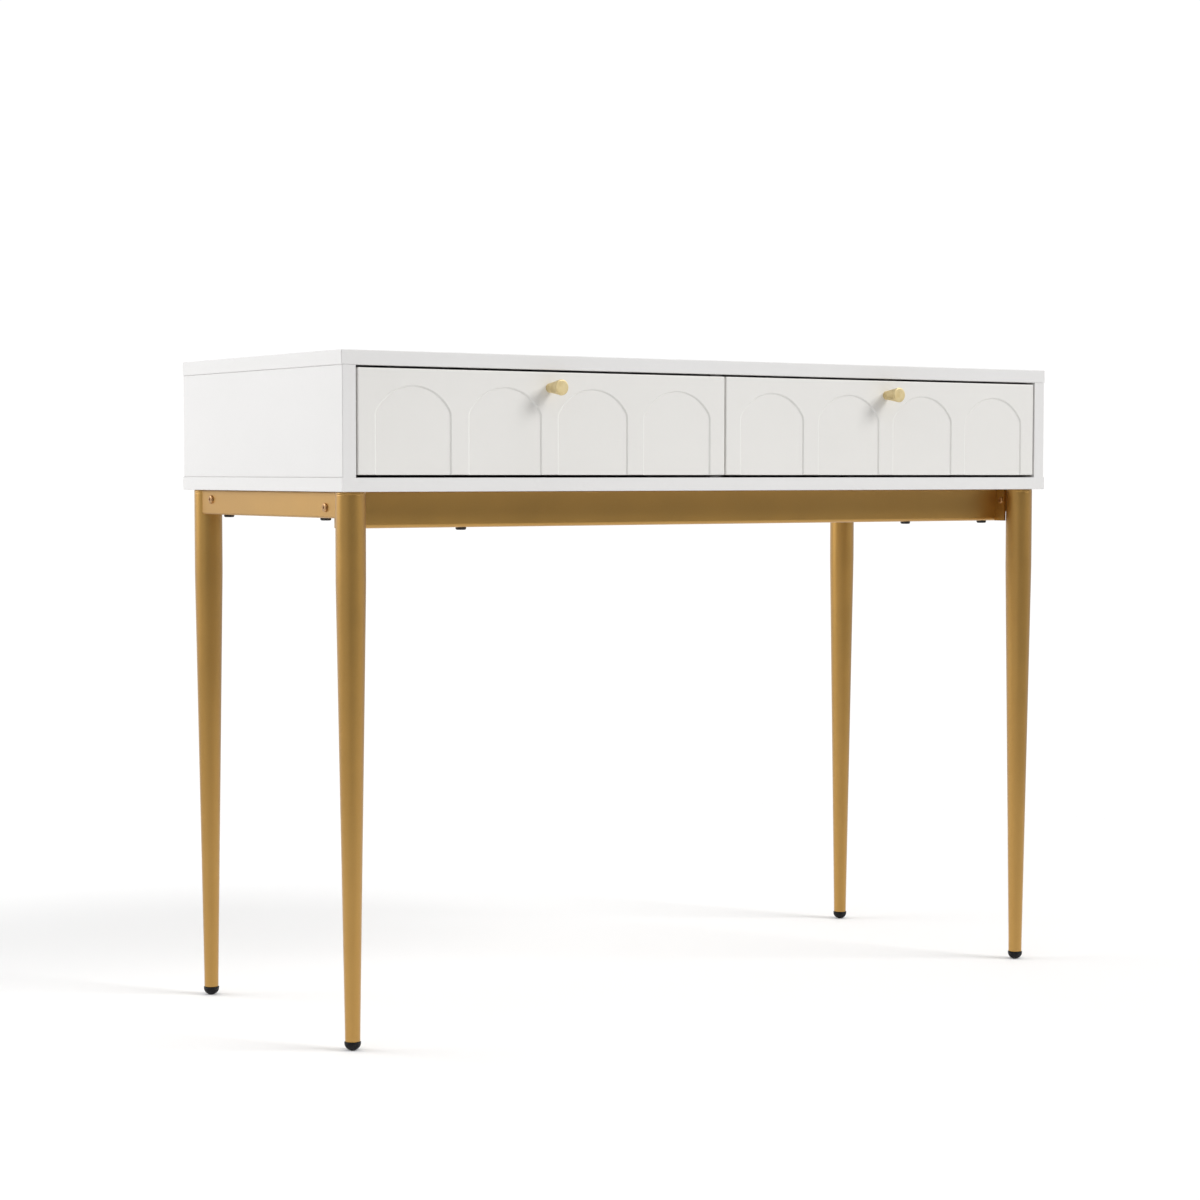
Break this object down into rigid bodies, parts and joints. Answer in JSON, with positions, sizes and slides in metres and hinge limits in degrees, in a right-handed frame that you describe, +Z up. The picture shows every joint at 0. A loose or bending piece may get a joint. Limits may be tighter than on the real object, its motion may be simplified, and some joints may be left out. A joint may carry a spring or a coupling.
{
  "type": "dressing table",
  "caption": "Slim white dressing table with side-by-side inset drawers, recessed arches on their fronts and brass knobs, on a gold frame with round tapered legs.",
  "frame": {"origin": "on the floor, under the middle of the footprint, knobs included", "axes": "+X to the right seen from the front, +Y to the back, +Z up; the drawers open along -Y"},
  "size_m": [1, 0.425, 0.75],
  "materials": {
    "cabinet_white": "white satin paint on fibreboard",
    "drawer_front_white": "warm white satin paint on fibreboard",
    "drawer_box_white": "white laminate on particle board",
    "thin_board": "white-faced hardboard",
    "gold_paint": "satin gold powder coat",
    "knob_brass": "brushed pale brass",
    "bronze_screw": "bronze plated",
    "black_plastic": "black moulded plastic",
    "black_bolt": "black oxide",
    "zinc_slide": "bright zinc plated sheet",
    "zinc_fastener": "zinc plated",
    "beech_dowel": "bare fluted beech"
  },
  "bodies": {
    "cabinet": {"back_panel": "thin_board", "beam_end_plates": "gold_paint", "bottom_panel": "cabinet_white", "cabinet_slide_screws": "zinc_fastener", "cam_bolts": "zinc_fastener", "cam_locks": "zinc_fastener", "centre_divider": "cabinet_white", "drawer_left_outer_slide_left": "zinc_slide", "drawer_left_outer_slide_right": "zinc_slide", "drawer_right_outer_slide_left": "zinc_slide", "drawer_right_outer_slide_right": "zinc_slide", "foot_front_left": "black_plastic", "foot_front_right": "black_plastic", "foot_rear_left": "black_plastic", "foot_rear_right": "black_plastic", "frame_bolts": "black_bolt", "front_beam": "gold_paint", "insert_nuts": "zinc_fastener", "leg_front_left": "gold_paint", "leg_front_right": "gold_paint", "leg_rear_left": "gold_paint", "leg_rear_right": "gold_paint", "leg_tongues": "gold_paint", "panel_dowels": "beech_dowel", "plate_screws": "bronze_screw", "rail_screws": "bronze_screw", "rear_beam": "gold_paint", "side_panel_left": "cabinet_white", "side_panel_right": "cabinet_white", "side_rail_left": "gold_paint", "side_rail_right": "gold_paint", "top_panel": "cabinet_white"},
    "drawer_left": {"drawer_left_back": "drawer_box_white", "drawer_left_back_screws": "zinc_fastener", "drawer_left_bottom": "thin_board", "drawer_left_cam_fittings": "zinc_fastener", "drawer_left_front": "drawer_front_white", "drawer_left_inner_slide_left": "zinc_slide", "drawer_left_inner_slide_right": "zinc_slide", "drawer_left_knob": "knob_brass", "drawer_left_knob_screw": "zinc_fastener", "drawer_left_side_left": "drawer_box_white", "drawer_left_side_right": "drawer_box_white", "drawer_left_slide_screws": "zinc_fastener"},
    "slide_runners_left": {"drawer_left_middle_slide_left": "zinc_slide", "drawer_left_middle_slide_right": "zinc_slide"},
    "drawer_right": {"drawer_right_back": "drawer_box_white", "drawer_right_back_screws": "zinc_fastener", "drawer_right_bottom": "thin_board", "drawer_right_cam_fittings": "zinc_fastener", "drawer_right_front": "drawer_front_white", "drawer_right_inner_slide_left": "zinc_slide", "drawer_right_inner_slide_right": "zinc_slide", "drawer_right_knob": "knob_brass", "drawer_right_knob_screw": "zinc_fastener", "drawer_right_side_left": "drawer_box_white", "drawer_right_side_right": "drawer_box_white", "drawer_right_slide_screws": "zinc_fastener"},
    "slide_runners_right": {"drawer_right_middle_slide_left": "zinc_slide", "drawer_right_middle_slide_right": "zinc_slide"}
  },
  "joints": [
    {"name": "drawer_left_slide", "type": "slide", "parent": "cabinet", "child": "drawer_left", "axis": [0, -1, 0], "range_m": [0, 0.28]},
    {"name": "drawer_right_slide", "type": "slide", "parent": "cabinet", "child": "drawer_right", "axis": [0, -1, 0], "range_m": [0, 0.28]},
    {"name": "slide_runners_left_slide", "type": "slide", "parent": "cabinet", "child": "slide_runners_left", "axis": [0, -1, 0], "range_m": [0, 0.14]},
    {"name": "slide_runners_right_slide", "type": "slide", "parent": "cabinet", "child": "slide_runners_right", "axis": [0, -1, 0], "range_m": [0, 0.14]}
  ],
  "couplings": [
    {"joint": "slide_runners_left_slide", "follows": "drawer_left_slide", "ratio": 0.5},
    {"joint": "slide_runners_right_slide", "follows": "drawer_right_slide", "ratio": 0.5}
  ]
}
